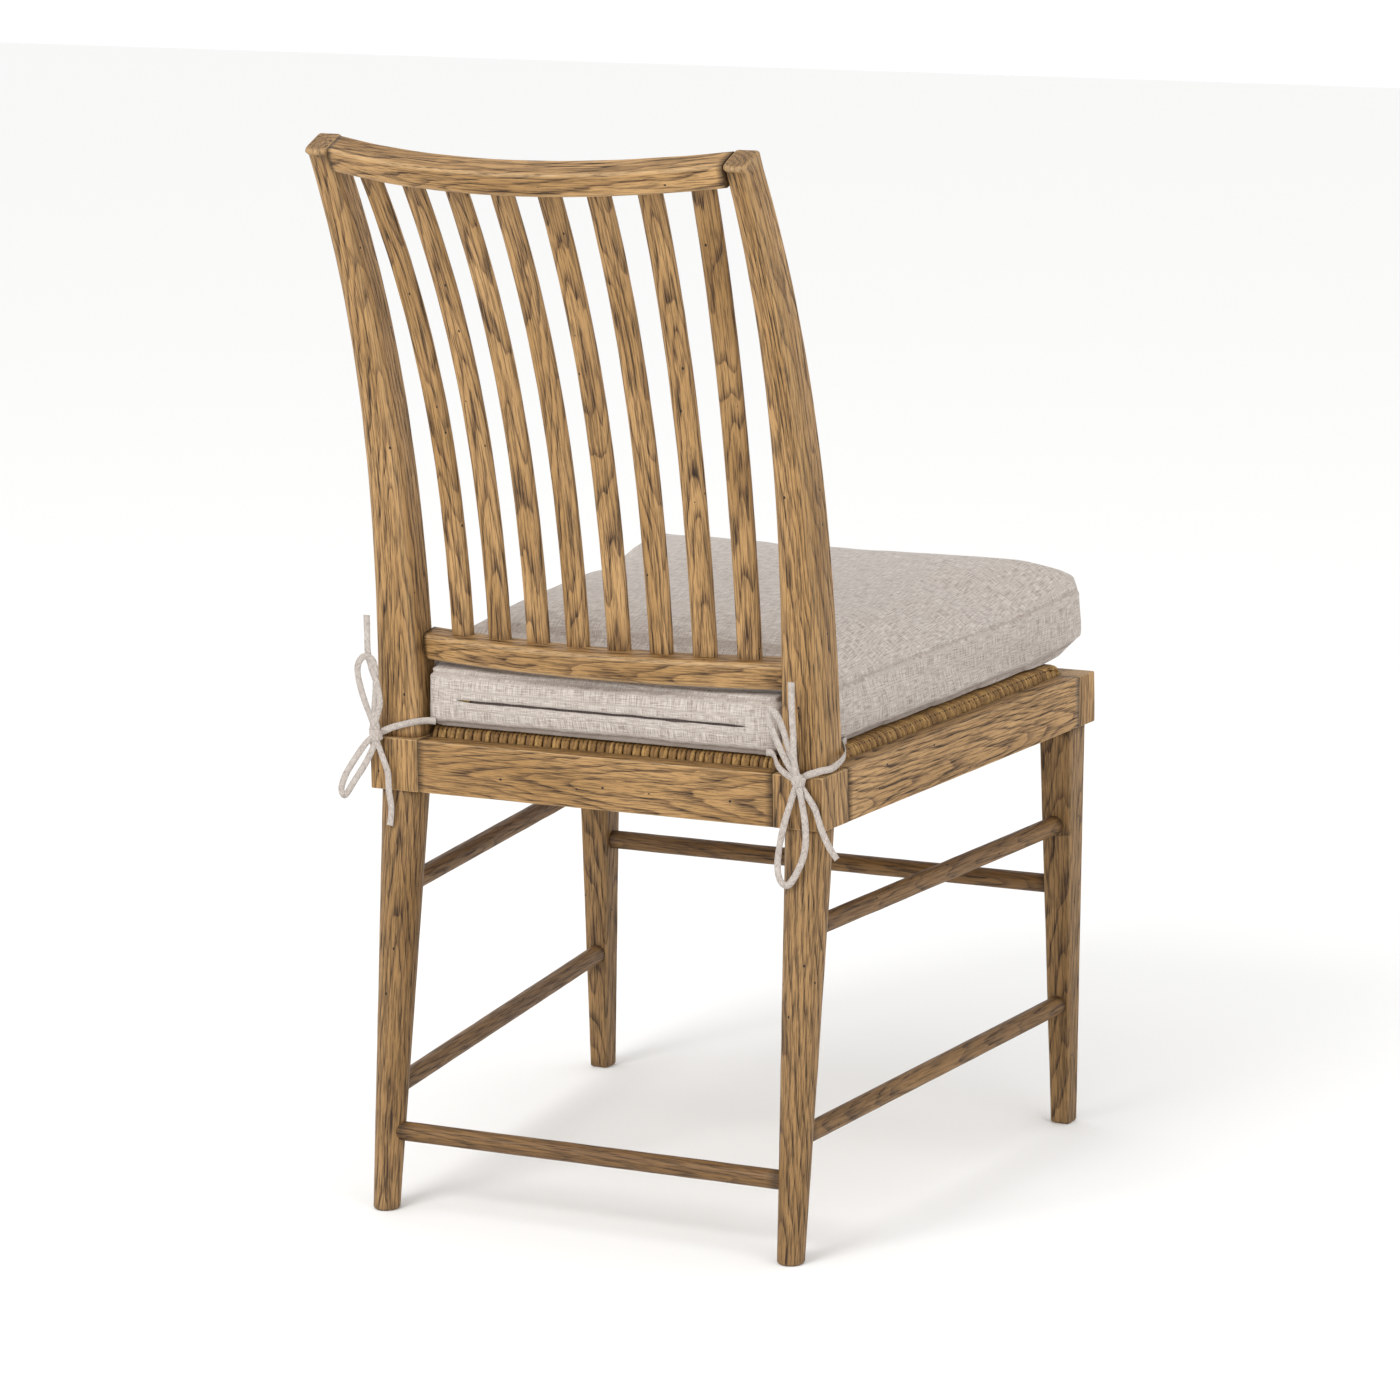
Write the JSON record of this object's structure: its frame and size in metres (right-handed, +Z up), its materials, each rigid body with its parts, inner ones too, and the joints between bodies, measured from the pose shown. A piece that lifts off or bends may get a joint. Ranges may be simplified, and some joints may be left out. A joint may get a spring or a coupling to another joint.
{
  "type": "dining side chair",
  "caption": "Side chair with tapering legs, a curved slatted back, a woven rush drop-in seat and a tied linen box cushion; it has no arms.",
  "frame": {"origin": "on the floor, below the middle of the chair's box without the ties", "axes": "+Z up, -Y the way the sitter faces, +X to the sitter's left"},
  "size_m": [0.544, 0.7047, 1.0063],
  "materials": {
    "oak_frame": "aged honey-brown oak, open grain, dull wax",
    "oak_stretchers": "aged oak turned round, slightly darker, dull wax",
    "oak_blocks": "rough-sawn oak, unfinished",
    "screw_steel": "plain zinc-plated wood screws",
    "seat_frame_wood": "plain hardwood, unfinished, hidden by the rush",
    "woven_rush": "dry twisted rush, matte, golden tan",
    "linen": "greige linen, twill weave, washed",
    "cushion_fill": "fibre-wrapped foam",
    "zip_tape": "woven mauve-brown tape, matte",
    "zip_metal": "aged brass, dull",
    "ribbon": "greige linen tape, soft, frayed ends"
  },
  "bodies": {
    "chair": {"rear_post_left": "oak_frame", "rear_post_right": "oak_frame", "crest_rail": "oak_frame", "lower_back_rail": "oak_frame", "back_slat_1": "oak_frame", "back_slat_2": "oak_frame", "back_slat_3": "oak_frame", "back_slat_4": "oak_frame", "back_slat_5": "oak_frame", "back_slat_6": "oak_frame", "back_slat_7": "oak_frame", "back_slat_8": "oak_frame", "seat_rail_rear": "oak_frame", "seat_rail_front": "oak_frame", "seat_rail_left": "oak_frame", "seat_rail_right": "oak_frame", "front_leg_left": "oak_frame", "front_leg_right": "oak_frame", "stretcher_rear": "oak_stretchers", "stretcher_front": "oak_stretchers", "stretcher_left_lower": "oak_stretchers", "stretcher_right_lower": "oak_stretchers", "stretcher_left_upper": "oak_stretchers", "stretcher_right_upper": "oak_stretchers", "corner_block_rear_left": "oak_blocks", "corner_block_rear_right": "oak_blocks", "corner_block_front_left": "oak_blocks", "corner_block_front_right": "oak_blocks", "corner_block_screws": "screw_steel", "seat_screws": "screw_steel", "drop_seat_rail_rear": "seat_frame_wood", "drop_seat_rail_front": "seat_frame_wood", "drop_seat_rail_left": "seat_frame_wood", "drop_seat_rail_right": "seat_frame_wood", "rush_weave": "woven_rush", "cushion_cover": "linen", "cushion_core": "cushion_fill", "zip_tape": "zip_tape", "tie_left_inner": "ribbon", "tie_left_outer": "ribbon", "tie_right_inner": "ribbon", "tie_right_outer": "ribbon", "tie_knot_left": "ribbon", "tie_knot_right": "ribbon"},
    "zip_pull": {"zip_slider": "zip_metal"}
  },
  "joints": [
    {"name": "zip_slide", "type": "slide", "parent": "chair", "child": "zip_pull", "axis": [-1, 0, 0], "range_m": [0, 0.275]}
  ]
}
